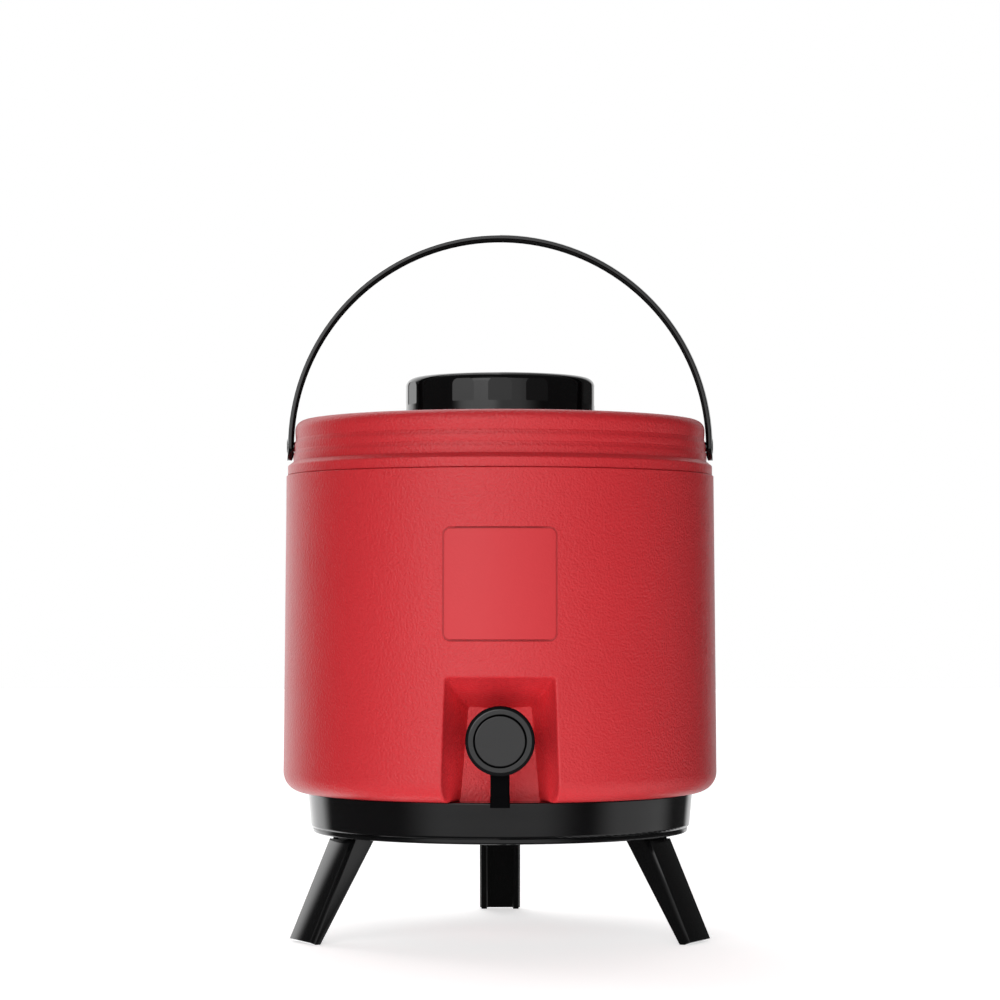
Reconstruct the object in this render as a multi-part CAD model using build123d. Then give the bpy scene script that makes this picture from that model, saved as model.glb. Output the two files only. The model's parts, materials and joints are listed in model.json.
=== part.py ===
from build123d import *
import math
import os

# An insulated drinks jug: a grained outer shell with foam between it and an inner liner,
# a screw lid, a bail handle, a push-button tap in a niche at the front, and a base ring
# with three legs that fold up into it.
# Millimetres. The floor is z = 0, the jug's axis is Z and the tap faces -Y.
# A "reach" is a distance from the jug's axis, a "height" is a distance above the floor.

# Clearances
cut_over = 5.0  # how far a cutting solid runs past what it cuts
skin_gap = 0.3  # between curved faces of neighbouring pieces
flat_gap = 0.1  # between flat faces that slide or press on each other
turn_gap = 0.06  # radial, around anything that turns or slides in a hole

# Base ring
base_height = 70.8  # underside of the ring, above the floor
base_depth = 27.8
base_inset = 17.2  # of the ring's top edge, from the shell's skin
base_draft = 2.2
base_wall = 3.0
base_plate = 3.0
base_edge_round = 1.0
base_foot_round = 2.4
base_lip_height = 2.4
base_lip_step = 1.3
base_lip_round = 1.1
base_groove_width = 0.8
base_groove_depth = 2.3
base_opening_radius = 45.0

# Outer shell, below the seam
shell_radius = 152.5
shell_draft = 1.7
shell_height = 221.2
shell_wall = 3.0
shell_foot_round = 14.0
shell_rim_round = 0.5

# Shell top, above the seam
seam_gap = 0.15  # height of the fine line between shell and shell top
band_step = 1.0  # how far the band above the seam lies inside the shell
band_height = 6.05
band_round = 1.5
ledge_rise = 3.8
ledge_step = 4.0
ridge_height = 7.8
ridge_taper = 0.8
ridge_bulge = 0.5
top_ridge_height = 6.4
top_ridge_bulge = 0.4
top_edge_round = 7.0
spigot_depth = 12.0
spigot_wall = 2.6

# Raised-edge panel outline on the shell's front
panel_width = 76.0
panel_depth = 75.6
panel_drop = 76.8  # middle of the panel, below the seam
panel_corner = 5.5
panel_line = 1.4
panel_line_depth = 1.2

# Niche for the tap
niche_mouth_inset = 5.3  # from the shell's skin to where the sizes of the mouth are given
niche_depth = 33.2
niche_head_room = 20.2  # ceiling at the back, above the tap's axis
niche_mouth_rise = 18.9  # by this much the ceiling climbs to the mouth
niche_side_room = 4.1  # between the tap's flange and the upper part of a side
niche_foot_flare = 5.3  # half widths grow by these: at the foot, and at the mouth
niche_mouth_flare = 15.9
niche_mouth_foot_flare = 12.8
niche_edge_round = 1.6
niche_corner_round = 2.2

# Liner and foam
foam_thickness = 14.5
liner_wall = 2.0
liner_floor_rise = 19.4  # inside of the liner's floor, above the shell's underside
liner_headroom = 19.8  # inside of its ceiling, below the shell's flat top
liner_floor_round = 10.0
liner_shoulder_round = 20.0
niche_foam = 8.0
neck_radius = 54.0
neck_wall = 3.0
neck_rise = 21.2  # rim of the neck above the shell's flat top
fill_hole_radius = 12.0
fill_plug_flange = 3.0
fill_plug_thickness = 1.5
fill_plug_stub = 5.0

# Screws that hold the base to the shell
screw_inset = 47.3  # from the base ring's outside
screw_radius = 2.0
screw_head_radius = 4.2
screw_head_height = 2.4
screw_depth = 11.0
screw_boss_wall = 3.6
screw_boss_height = 10.0
screw_count = 3

# Lid
lid_height = 28.3
lid_lift_gap = 2.2  # between the shell's top and the lid's lower edge
lid_wall = 2.5
lid_top = 2.5
lid_top_round = 6.0
lid_foot_round = 0.9
lid_rim_width = 20.0  # flat part of the top, outside the dish
lid_dish_slope = 3.0
lid_dish_depth = 0.8
lid_flat_count = 16
lid_flat_depth = 0.75
lid_flat_rise = 8.7
lid_flat_height = 15.5
lid_flat_width = 16.3
lid_flat_top_corner = 4.0
lid_flat_foot_corner = 1.0
lid_skirt_wall = 2.6
lid_skirt_gap = 3.0  # between the thread's skirt and the outer wall
lid_thread_room = 1.9
lid_skirt_rise = 2.5
gasket_thickness = 2.5
gasket_width = 5.6
lid_seat_width = 2.5
plug_gap = 1.5  # between the cup and the neck
plug_depth = 20.6
plug_wall = 1.5
plug_rib_width = 2.0
plug_rib_height = 6.8

# Bail handle
handle_side_gap = 0.4  # from the lowest ridge's foot to the strap's side edges
handle_crown = 1.4  # how far the strap's middle stands out past its side edges
handle_thickness = 3.0
handle_width = 19.5
handle_edge_round = 0.9
handle_pivot_drop = 17.8  # pivot axis below the shell's flat top
handle_pin_radius = 3.5
handle_pin_head_radius = 6.0
handle_pin_head_height = 1.4
handle_pin_depth = 13.0
handle_boss_wall = 3.2
handle_boss_depth = 8.6

# Legs
leg_azimuths = (90.0, 210.0, 330.0)
leg_names = ("leg_rear", "leg_left", "leg_right")
leg_splay = 24.5  # degrees between the web and the vertical
leg_pin_inset = 25.5  # from the base ring's outside
leg_pin_rise = 10.2  # pin axis above the base ring's underside
leg_pin_radius = 2.5
leg_web_proud = 1.7  # outer face of the web, past the knuckle
leg_web_thickness = 4.0
leg_width = 30.2
leg_lip = 1.0  # how far the web's edges stand out past the flanges
leg_flange = 4.4
leg_knuckle_wall = 5.8  # round the pin
leg_web_drop = 2.0  # top of the web's proud face below the base ring
leg_free_edge_start = 10.5
leg_free_edge_offset = 7.2
leg_foot_lift = 2.0
leg_foot_land_out = 4.5
leg_foot_land_in = 1.2
ear_thickness = 3.5
ear_wall = 4.0  # round the pin
ear_side_gap = 0.4
ear_base_half = 10.0
stop_width = 22.0
stop_height = 4.6

# Tap, along its own axis
tap_rise = 41.6  # axis above the shell's underside
washer_thickness = 2.0
washer_inset = 1.0  # from the flange's edge
tap_flange_step = 2.5  # from the barrel out to the flange's edge
tap_flange_thickness = 4.0
tap_barrel_wall = 4.5
tap_barrel_length = 35.0  # from the niche's back
tap_chamber_radius = 10.0
tap_shank_wall = 2.5
tap_shank_bore = 8.0
tap_shank_length = 26.0  # behind the niche's back
tap_web_thickness = 3.0
tap_seat_gap = 2.1  # between the stem and the seat's hole
tap_edge_round = 1.0
nut_wall = 4.5
nut_thickness = 8.0
spout_bore = 4.25
spout_wall = 1.5  # in front of the bore at its foot, and behind it
spout_width = 12.6
spout_corner = 2.2
spout_front_inset = 0.4  # of its front at the top, behind the barrel's front end
spout_setback = 7.3  # its axis, behind the barrel's front end
spout_end_drop = 2.5  # below the shell's underside
spout_lip_height = 7.0
spout_lip_step = 0.2
bezel_rim = 5.5
bezel_floor = 2.0
bezel_depth = 10.0
bezel_edge_round = 2.6
bezel_hole_radius = 17.3
bezel_spigot_depth = 2.0
button_gap = 0.7
button_proud = 0.9
button_travel = 4.0
button_face_thickness = 2.0
button_skirt_wall = 1.4
button_edge_round = 0.6
button_hub_wall = 2.5
stem_radius = 2.5
stem_head_inset = 2.0  # from the seal's edge
stem_head_height = 1.5
stem_collar_inset = 2.0  # from the chamber's wall
stem_collar_thickness = 2.0
stem_collar_gap = 8.0  # from the collar to the end of the barrel
stem_entry = 3.0  # how far the stem goes into the button's hub
seal_overlap = 1.8  # past the edge of the seat's hole
seal_thickness = 2.0
ring_wire_radius = 0.9
spring_inset = 1.5  # from the collar's edge to the middle of the wire
spring_wire_radius = 0.6
spring_turns = 4.5

# Heights and reaches that follow from the sizes above
base_top = base_height + base_depth
base_radius = shell_radius - base_inset
screw_circle_radius = base_radius - screw_inset
seam_height = base_top + shell_height
seam_radius = shell_radius - shell_draft
band_radius = seam_radius - band_step
collar_start = seam_height + seam_gap
band_top = collar_start + band_height
ridge_start = band_top + ledge_rise
ridge_radius = band_radius - ledge_step
ridge_break_1 = ridge_start + ridge_height
ridge_break_2 = ridge_break_1 + ridge_height
ridge_end = ridge_break_2 + top_ridge_height
shell_top_height = ridge_end + top_edge_round
collar_radius = ridge_radius - 2 * ridge_taper + top_ridge_bulge
handle_edge_reach = ridge_radius + handle_side_gap
handle_radius = handle_edge_reach + handle_crown + handle_thickness
panel_middle_height = seam_height - panel_drop
neck_outer = neck_radius + neck_wall
neck_rim = shell_top_height + neck_rise
liner_radius = shell_radius - shell_wall - foam_thickness - liner_wall
liner_floor = base_top + liner_floor_rise
liner_ceiling = shell_top_height - liner_headroom
lid_skirt_outer = neck_outer + lid_thread_room + lid_skirt_wall
lid_radius = lid_skirt_outer + lid_skirt_gap + lid_wall
lid_dish_radius = lid_radius - lid_rim_width
plug_radius = neck_radius - plug_gap
lid_foot = shell_top_height + lid_lift_gap
lid_crown = lid_foot + lid_height
lid_ceiling = lid_crown - lid_top
pivot_height = shell_top_height - handle_pivot_drop
pin_height = base_height + leg_pin_rise
leg_pin_reach = base_radius - leg_pin_inset
leg_knuckle_radius = leg_pin_radius + leg_knuckle_wall
leg_web_offset = leg_knuckle_radius + leg_web_proud
ear_radius = leg_pin_radius + ear_wall
tap_height = base_top + tap_rise
tap_barrel_radius = tap_chamber_radius + tap_barrel_wall
tap_flange_radius = tap_barrel_radius + tap_flange_step
outer_washer_radius = tap_flange_radius - washer_inset
tap_shank_radius = tap_shank_bore + tap_shank_wall
nut_width_across_flats = 2 * (tap_shank_radius + nut_wall)
tap_seat_radius = stem_radius + tap_seat_gap
seal_radius = tap_seat_radius + seal_overlap
stem_head_radius = seal_radius - stem_head_inset
stem_collar_radius = tap_chamber_radius - stem_collar_inset
spring_radius = stem_collar_radius - spring_inset
button_hub_radius = stem_radius + button_hub_wall
bezel_radius = bezel_hole_radius + bezel_rim
niche_mouth_reach = shell_radius - niche_mouth_inset
niche_reach = niche_mouth_reach - niche_depth
niche_top_height = tap_height + niche_head_room
niche_mouth_top_height = niche_top_height + niche_mouth_rise
niche_slope = niche_mouth_rise / (niche_mouth_reach - niche_reach)
niche_top_half = tap_flange_radius + niche_side_room
niche_foot_half = niche_top_half + niche_foot_flare
niche_mouth_top_half = niche_top_half + niche_mouth_flare
niche_mouth_foot_half = niche_foot_half + niche_mouth_foot_flare
tap_barrel_end = niche_reach + tap_barrel_length
tap_shank_end = niche_reach - tap_shank_length
spout_reach = tap_barrel_end - spout_setback
bezel_front = tap_barrel_end + bezel_depth
tap_flange_back = niche_reach + washer_thickness
tap_web_back = tap_flange_back + tap_flange_thickness
tap_web_front = tap_web_back + tap_web_thickness
bezel_floor_front = tap_barrel_end + bezel_floor
liner_back_outer = niche_reach - shell_wall - niche_foam
liner_back_inner = liner_back_outer - liner_wall
screw_azimuths = [30.0 + 360.0 * n / screw_count for n in range(screw_count)]


def profile(points, rounds=None):
    """A closed face in the XZ plane through (x, z) points, with a corner radius for each."""
    if rounds is None:
        return make_face(Plane.XZ * Polyline(*points, close=True))
    return make_face(Plane.XZ * FilletPolyline(*points, radius=rounds, close=True))


def turned(points, rounds=None):
    """The profile turned about the Z axis."""
    return revolve(profile(points, rounds), Axis.Z)


def disc(radius, low, high):
    """An upright cylinder between two heights."""
    return Pos(0, 0, low) * Cylinder(radius, high - low, align=(Align.CENTER, Align.CENTER, Align.MIN))


def tube(outer, inner, low, high):
    """An upright tube between two heights."""
    return disc(outer, low, high) - disc(inner, low - cut_over, high + cut_over)


def radial_slab(points, start, stop, rounds=None):
    """A flat plate cut to a (reach, height) outline, between two sideways distances."""
    slab = extrude(profile(points, rounds), amount=stop - start, dir=(0, -1, 0))
    return Pos(0, -start, 0) * slab


def around(shape, azimuths):
    """Copies of a shape that was drawn along +X, turned to each azimuth."""
    return [Rot(0, 0, azimuth) * shape for azimuth in azimuths]


def joined(first, others):
    """One shape and several others as a single solid."""
    for other in others:
        first = first + other
    return first


def sideways(shape, reach):
    """A shape drawn along Z, laid along +X with its start at the given reach."""
    return Pos(reach, 0, pivot_height) * (Rot(0, 90, 0) * shape)


def on_tap_axis(shape):
    """A shape drawn along Z, where z is the reach, laid along the tap's axis."""
    return Plane(origin=(0, 0, tap_height), x_dir=(1, 0, 0), z_dir=(0, -1, 0)) * shape


def save(node, shape):
    """Writes one named piece and prints its volume."""
    solids = shape.solids()
    shape = solids[0] if len(solids) == 1 else Compound(children=solids)
    shape.label = node
    export_step(shape, f"parts/{node}.step")
    print(f"{node}: {len(solids)} solid(s), {shape.volume / 1000:.2f} cm3")


# The niche tapers inwards, so its outline is worked out at any reach and grown by a wall.

def niche_outline(reach, grow, foot, head):
    """The niche's sides at a reach, as a face between two heights that looks along the tap."""
    depth_share = (reach - niche_reach) / (niche_mouth_reach - niche_reach)
    side_slope = (niche_mouth_top_half - niche_top_half) / (niche_mouth_reach - niche_reach)
    top = ceiling_height(reach)
    top_half = niche_top_half + (niche_mouth_top_half - niche_top_half) * depth_share
    foot_half = niche_foot_half + (niche_mouth_foot_half - niche_foot_half) * depth_share
    lean = (foot_half - top_half) / (top - base_top)
    side_grow = grow * math.hypot(1, side_slope)
    low_half = top_half + lean * (top - foot) + side_grow
    high_half = top_half + lean * (top - head) + side_grow
    points = [(-low_half, foot), (low_half, foot), (high_half, head), (-high_half, head)]
    return Pos(0, -reach, 0) * make_face(Plane.XZ * Polyline(*points, close=True))


def ceiling_height(reach, grow=0.0):
    """Height of the niche's ceiling at a reach: a cone about the jug's axis, or one grown by a wall."""
    return niche_top_height + niche_slope * (reach - niche_reach) + grow * math.hypot(1, niche_slope)


def niche_wedge(grow=0.0, foot=base_top - cut_over):
    """The niche as a solid wedge, open below, with its back, sides and ceiling grown outwards."""
    front = shell_radius + 2 * cut_over
    far = 2 * shell_radius
    head = ceiling_height(front, grow)
    back = niche_outline(niche_reach - grow, grow, foot, head)
    mouth = niche_outline(front, grow, foot, head)
    far_head = ceiling_height(far, grow)
    above = turned([(0, ceiling_height(0, grow)), (far, far_head), (0, far_head)])
    return loft([back, mouth], ruled=True) - above


def shell_envelope(inset=0.0):
    """The shell below the seam as a full solid, or a smaller one inside its walls."""
    foot_radius = shell_radius - inset
    points = [
        (0, base_top + inset),
        (foot_radius, base_top + inset),
        (seam_radius - inset, seam_height),
        (0, seam_height),
    ]
    return turned(points, [0, shell_foot_round - inset, 0, 0])


def panel_outline():
    """The ring of material that the panel's thin sunk line takes off the shell's skin."""
    start = niche_mouth_reach
    frame = Plane(origin=(0, -start, panel_middle_height), x_dir=(1, 0, 0), z_dir=(0, -1, 0))
    outer = RectangleRounded(panel_width, panel_depth, panel_corner)
    inner_corner = panel_corner - panel_line
    inner = RectangleRounded(panel_width - 2 * panel_line, panel_depth - 2 * panel_line, inner_corner)
    prism = frame * extrude(outer - inner, amount=shell_radius)
    front = Plane(origin=(0, -shell_radius, panel_middle_height)) * Box(
        panel_width + cut_over, 2 * shell_radius, panel_depth + cut_over
    )
    skin = (shell_envelope() & front) - shell_envelope(panel_line_depth)
    return prism & skin


def screw_bosses(radius, low, high):
    """Upright posts where the base's screws go."""
    post = Pos(screw_circle_radius, 0, 0) * disc(radius, low, high)
    return around(post, screw_azimuths)


def outer_shell():
    """Body of the jug up to the seam, with the niche formed in its front wall."""
    body = shell_envelope() - niche_wedge()
    body = fillet(body.edges().filter_by(niche_corner), niche_corner_round)
    body = fillet(body.edges().filter_by(niche_edge), niche_edge_round)
    hollow = shell_envelope(shell_wall) - niche_wedge(shell_wall)
    rim_low = seam_height - shell_rim_round
    hollow = hollow + disc(seam_radius - shell_wall, rim_low, seam_height + cut_over)
    body = body - hollow
    body = body - panel_outline()
    rim = body.edges().filter_by(GeomType.CIRCLE).group_by(Axis.Z)[-1].sort_by(SortBy.RADIUS)[-1]
    body = fillet(rim, shell_rim_round)
    boss_radius = screw_radius + screw_boss_wall
    boss_top = base_top + shell_wall + screw_boss_height
    body = joined(body, screw_bosses(boss_radius, base_top + shell_wall / 2, boss_top))
    hole_top = base_top + screw_depth + flat_gap
    for hole in screw_bosses(screw_radius + turn_gap, base_top - cut_over, hole_top):
        body = body - hole
    body = body - disc(fill_hole_radius, base_top - cut_over, base_top + shell_wall + cut_over)
    shank = disc(tap_shank_radius + skin_gap, liner_back_outer, niche_reach + cut_over)
    return body - on_tap_axis(shank)


def niche_edge(edge):
    """True for the outer edges where the niche meets the shell's curved skin."""
    middle = edge @ 0.5
    reach = math.hypot(middle.X, middle.Y)
    on_skin = reach > seam_radius - skin_gap and middle.Z < niche_mouth_top_height + cut_over
    near_front = abs(middle.X) < niche_mouth_foot_half + cut_over and middle.Y < 0
    return on_skin and near_front


def niche_corner(edge):
    """True for the two sloping corners between the niche's ceiling and its sides."""
    middle = edge @ 0.5
    start = edge @ 0
    end = edge @ 1
    inside = math.hypot(middle.X, middle.Y) < seam_radius - shell_wall
    rises = abs(start.Y - end.Y) > niche_mouth_reach - niche_reach - shell_wall
    return inside and rises and min(start.Z, end.Z) > tap_height


def shell_top():
    """Cap that closes the shell above the seam, with its ridges and the handle's bosses."""
    spigot_outer = seam_radius - shell_wall - skin_gap
    spigot_inner = spigot_outer - spigot_wall
    wall_inner = collar_radius - shell_wall
    spigot_end = collar_start - spigot_depth
    round_centre = collar_radius - top_edge_round
    inner_round = top_edge_round - shell_wall
    mouth = neck_outer + skin_gap
    diagonal = math.sqrt(0.5)
    edges = [
        Line((mouth, shell_top_height), (round_centre, shell_top_height)),
        ThreePointArc(
            (round_centre, shell_top_height),
            (round_centre + top_edge_round * diagonal, ridge_end + top_edge_round * diagonal),
            (collar_radius, ridge_end),
        ),
        ThreePointArc(
            (collar_radius, ridge_end),
            (collar_radius - top_ridge_bulge / 4, ridge_break_2 + top_ridge_height / 2),
            (ridge_radius - 2 * ridge_taper, ridge_break_2),
        ),
        ridge(
            (ridge_radius - 2 * ridge_taper, ridge_break_2), (ridge_radius - ridge_taper, ridge_break_1)
        ),
        ridge((ridge_radius - ridge_taper, ridge_break_1), (ridge_radius, ridge_start)),
        Line((ridge_radius, ridge_start), band_edge_point(45)),
        ThreePointArc(band_edge_point(45), band_edge_point(45 / 2), band_edge_point(0)),
        Line(band_edge_point(0), (band_radius, collar_start + shell_rim_round)),
        Line(
            (band_radius, collar_start + shell_rim_round), (band_radius - shell_rim_round, collar_start)
        ),
        Line((band_radius - shell_rim_round, collar_start), (spigot_outer, collar_start)),
        Line((spigot_outer, collar_start), (spigot_outer, spigot_end)),
        Line((spigot_outer, spigot_end), (spigot_inner, spigot_end)),
        Line((spigot_inner, spigot_end), (spigot_inner, collar_start + shell_wall)),
        Line((spigot_inner, collar_start + shell_wall), (wall_inner, ridge_start)),
        Line((wall_inner, ridge_start), (wall_inner, ridge_end)),
        ThreePointArc(
            (wall_inner, ridge_end),
            (round_centre + inner_round * diagonal, ridge_end + inner_round * diagonal),
            (round_centre, shell_top_height - shell_wall),
        ),
        Line((round_centre, shell_top_height - shell_wall), (mouth, shell_top_height - shell_wall)),
        Line((mouth, shell_top_height - shell_wall), (mouth, shell_top_height)),
    ]
    cap = revolve(make_face(Plane.XZ * Curve(children=edges)), Axis.Z)
    boss = disc(handle_pin_radius + handle_boss_wall, 0, handle_boss_depth)
    boss = sideways(boss, handle_boss_start())
    pin_hole = disc(handle_pin_radius + turn_gap, 0, handle_radius)
    pin_hole = sideways(pin_hole, handle_pin_start() - flat_gap)
    for side in (0, 180):
        cap = cap + Rot(0, 0, side) * boss
        cap = cap - Rot(0, 0, side) * pin_hole
    return cap


def band_edge_point(angle):
    """(radius, height) of a point on the band's rounded upper edge, by the angle it has turned."""
    turn = math.radians(angle)
    radius = band_radius - band_round * (1 - math.cos(turn))
    return (radius, band_top + band_round * math.sin(turn))


def ridge(high, low):
    """An outward-swelling arc between two (radius, height) points on the wall."""
    middle = ((high[0] + low[0]) / 2 + ridge_bulge, (high[1] + low[1]) / 2)
    return ThreePointArc(high, middle, low)


def handle_boss_start():
    """Reach of the inner end of the boss for a handle pin."""
    return collar_radius - shell_wall - handle_boss_depth + flat_gap


def handle_pin_start():
    """Reach of the inner end of a handle pin."""
    return handle_radius - handle_thickness - handle_pin_depth


def foam_insulation():
    """Foam that fills the space between the shell and the liner."""
    inset = shell_wall + skin_gap
    spigot_inner = seam_radius - shell_wall - skin_gap - spigot_wall - skin_gap
    collar_inner = collar_radius - shell_wall - skin_gap
    step_height = collar_start - spigot_depth - skin_gap
    body_radius = shell_radius - inset
    step_radius = seam_radius - inset
    top = shell_top_height - inset
    points = [
        (0, base_top + inset),
        (body_radius, base_top + inset),
        (step_radius, step_height),
        (spigot_inner, step_height),
        (spigot_inner, collar_start + shell_wall),
        (collar_inner, ridge_start),
        (collar_inner, top),
        (0, top),
    ]
    rounds = [0, shell_foot_round - inset, 0, 0, 0, 0, top_edge_round - inset, 0]
    foam = turned(points, rounds) - niche_wedge(shell_wall + skin_gap)
    foam = foam - liner_envelope(skin_gap)
    foam = foam - disc(neck_outer + skin_gap, liner_ceiling, top + cut_over)
    boss_radius = screw_radius + screw_boss_wall + skin_gap
    boss_top = base_top + shell_wall + screw_boss_height
    for post in screw_bosses(boss_radius, base_top, boss_top + skin_gap):
        foam = foam - post
    plug_radius_with_gap = fill_hole_radius + skin_gap
    foam = foam - disc(plug_radius_with_gap, base_top, base_top + fill_plug_stub + skin_gap)
    handle_hole = disc(handle_pin_radius + handle_boss_wall + skin_gap, 0, handle_radius)
    handle_hole = sideways(handle_hole, handle_boss_start() - skin_gap)
    for side in (0, 180):
        foam = foam - Rot(0, 0, side) * handle_hole
    shank_hole = disc(tap_shank_radius + skin_gap, liner_back_inner, niche_reach)
    return foam - on_tap_axis(shank_hole)


def liner_envelope(grow=0.0):
    """The liner's outside as a full solid without its neck, or a slightly larger one."""
    radius = liner_radius + liner_wall + grow
    floor = liner_floor - liner_wall - grow
    ceiling = liner_ceiling + liner_wall + grow
    points = [(0, floor), (radius, floor), (radius, ceiling), (0, ceiling)]
    floor_round = liner_floor_round + liner_wall + grow
    shoulder_round = liner_shoulder_round + liner_wall + grow
    body = turned(points, [0, floor_round, shoulder_round, 0])
    return body - niche_wedge(shell_wall + niche_foam - grow)


def inner_liner():
    """Food-grade tank with a neck at the top and a pocket behind the niche."""
    ceiling = liner_ceiling
    points = [(0, liner_floor), (liner_radius, liner_floor), (liner_radius, ceiling), (0, ceiling)]
    inside = turned(points, [0, liner_floor_round, liner_shoulder_round, 0])
    inside = inside - niche_wedge(shell_wall + niche_foam + liner_wall)
    outside = liner_envelope() + disc(neck_outer, liner_ceiling, neck_rim)
    tank = outside - inside - disc(neck_radius, liner_ceiling - liner_wall, neck_rim + cut_over)
    shank = disc(tap_shank_radius + skin_gap, tap_shank_end, niche_reach)
    return tank - on_tap_axis(shank)


def foam_plug():
    """Stopper in the hole through which the foam was poured."""
    stub = disc(fill_hole_radius - turn_gap, base_top, base_top + fill_plug_stub)
    flange = disc(fill_hole_radius + fill_plug_flange, base_top - fill_plug_thickness, base_top)
    return stub + flange


def base_screw():
    """A pan-head screw, drawn at the first screw's place."""
    head_top = base_top - base_plate
    head_foot = head_top - screw_head_height
    head_round = screw_head_height / 2
    points = [
        (0, head_foot),
        (screw_head_radius, head_foot),
        (screw_head_radius, head_top),
        (screw_radius, head_top),
        (screw_radius, base_top + screw_depth),
        (0, base_top + screw_depth),
    ]
    screw = turned(points, [0, head_round, 0, 0, 0, 0])
    return Pos(screw_circle_radius, 0, 0) * screw


def base_ring():
    """Ring under the shell, with a plate on top, ears for the legs' pins and stops for the legs."""
    foot_radius = base_radius - base_draft
    lip_top = base_height + base_lip_height
    groove_top = lip_top + base_groove_width
    groove_floor = foot_radius - base_groove_depth
    lip_radius = foot_radius - base_lip_step
    inner_foot = foot_radius - base_groove_depth - base_wall
    inner_top = base_radius - base_wall
    plate_foot = base_top - base_plate
    points = [
        (base_opening_radius, base_top),
        (base_radius, base_top),
        (foot_radius, groove_top),
        (groove_floor, groove_top),
        (groove_floor, lip_top),
        (lip_radius, lip_top),
        (lip_radius, base_height),
        (inner_foot, base_height),
        (inner_top, plate_foot),
        (base_opening_radius, plate_foot),
    ]
    rounds = [0, base_edge_round, base_foot_round, 0, 0, 0, base_lip_round, 0, 0, 0]
    ring = turned(points, rounds)
    ring = joined(ring, around(leg_ears(), leg_azimuths))
    ring = joined(ring, around(leg_stop(inner_foot), leg_azimuths))
    for hole in screw_bosses(screw_radius + turn_gap, plate_foot - cut_over, base_top + cut_over):
        ring = ring - hole
    return ring


def leg_ears():
    """The pair of ears that hold one leg's pin, drawn at +X."""
    side = leg_width / 2 - leg_lip + ear_side_gap
    top = base_top - base_plate / 2
    foot = pin_height - ear_radius
    points = [
        (leg_pin_reach - ear_base_half, top),
        (leg_pin_reach - ear_radius, foot),
        (leg_pin_reach + ear_radius, foot),
        (leg_pin_reach + ear_base_half, top),
    ]
    ear_round = ear_radius - turn_gap
    ear = radial_slab(points, side, side + ear_thickness, [0, ear_round, ear_round, 0])
    ear = ear - leg_pin_hole()
    return Compound(children=[ear, mirror(ear, Plane.XZ)])


def leg_pin_hole():
    """The hole for a leg's pin, through ears and flanges alike."""
    length = leg_width + 2 * ear_thickness + 2 * cut_over
    hole = Cylinder(leg_pin_radius + turn_gap, length)
    return Pos(leg_pin_reach, 0, pin_height) * Rot(90, 0, 0) * hole


def leg_stop(ring_reach):
    """The rib that the open leg leans against, drawn at +X and cut parallel to the web."""
    low = base_height
    high = base_height + stop_height
    offset = leg_knuckle_radius + skin_gap
    points = [
        (web_reach_at(low, offset), low),
        (ring_reach + base_wall / 2, low),
        (ring_reach + base_wall / 2, high),
        (web_reach_at(high, offset), high),
    ]
    return radial_slab(points, -stop_width / 2, stop_width / 2)


def web_reach_at(height, offset):
    """Reach, at a height, of the line that runs along the leg at an offset from its pin."""
    splay = math.radians(leg_splay)
    return leg_pin_reach + (offset - (height - pin_height) * math.sin(splay)) / math.cos(splay)


def leg_point(along, out):
    """(reach, height) of a point along the open leg from its pin, and out from it."""
    splay = math.radians(leg_splay)
    reach = leg_pin_reach + along * math.sin(splay) + out * math.cos(splay)
    height = pin_height - along * math.cos(splay) + out * math.sin(splay)
    return (reach, height)


def leg_point_at(height, out):
    """Point at a height, out from the leg's own line."""
    splay = math.radians(leg_splay)
    along = (pin_height + out * math.sin(splay) - height) / math.cos(splay)
    return leg_point(along, out)


def leg_side(start, stop, outer):
    """Side outline of the leg between two sideways distances, with its outer face at an offset."""
    points = [
        leg_point(0, -leg_knuckle_radius),
        leg_point(0, leg_knuckle_radius),
        leg_point_at(base_height - leg_web_drop, leg_knuckle_radius),
        leg_point_at(base_height - leg_web_drop, outer),
        leg_point_at(leg_foot_lift, outer),
        leg_point_at(0, leg_foot_land_out),
        leg_point_at(0, leg_foot_land_in),
        leg_point(leg_free_edge_start, -leg_free_edge_offset),
    ]
    if outer == leg_knuckle_radius:
        points = points[:2] + points[4:]
    return radial_slab(points, start, stop)


def leg():
    """One open leg at +X: a channel with its web outside, a knuckle at the pin and a cut foot."""
    half = leg_width / 2 - leg_lip
    body = leg_side(-half, half, leg_web_offset)
    knuckle = Pos(leg_pin_reach, 0, pin_height) * Rot(90, 0, 0) * Cylinder(leg_knuckle_radius, 2 * half)
    body = body + knuckle
    web_low = leg_web_offset - leg_web_thickness
    web_points = [
        leg_point_at(base_height - leg_web_drop, leg_web_offset),
        leg_point_at(leg_foot_lift, leg_web_offset),
        leg_point_at(foot_height_at(web_low), web_low),
        leg_point_at(base_height - leg_web_drop, web_low),
    ]
    body = body + radial_slab(web_points, -leg_width / 2, leg_width / 2)
    channel_half = half - leg_flange
    channel_points = [
        leg_point(-2 * leg_knuckle_radius, web_low),
        leg_point(2 * pin_height, web_low),
        leg_point(2 * pin_height, -2 * leg_knuckle_radius),
        leg_point(-2 * leg_knuckle_radius, -2 * leg_knuckle_radius),
    ]
    body = body - radial_slab(channel_points, -channel_half, channel_half)
    return body - leg_pin_hole()


def foot_height_at(out):
    """Height of the leg's cut foot at an offset from the pin's line."""
    share = (out - leg_foot_land_out) / (leg_web_offset - leg_foot_land_out)
    return leg_foot_lift * share


def leg_pin():
    """A plain pin through one leg's ears and flanges, drawn at +X."""
    length = leg_width - 2 * leg_lip + 2 * ear_side_gap + 2 * ear_thickness
    return Pos(leg_pin_reach, 0, pin_height) * Rot(90, 0, 0) * Cylinder(leg_pin_radius, length)


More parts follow.
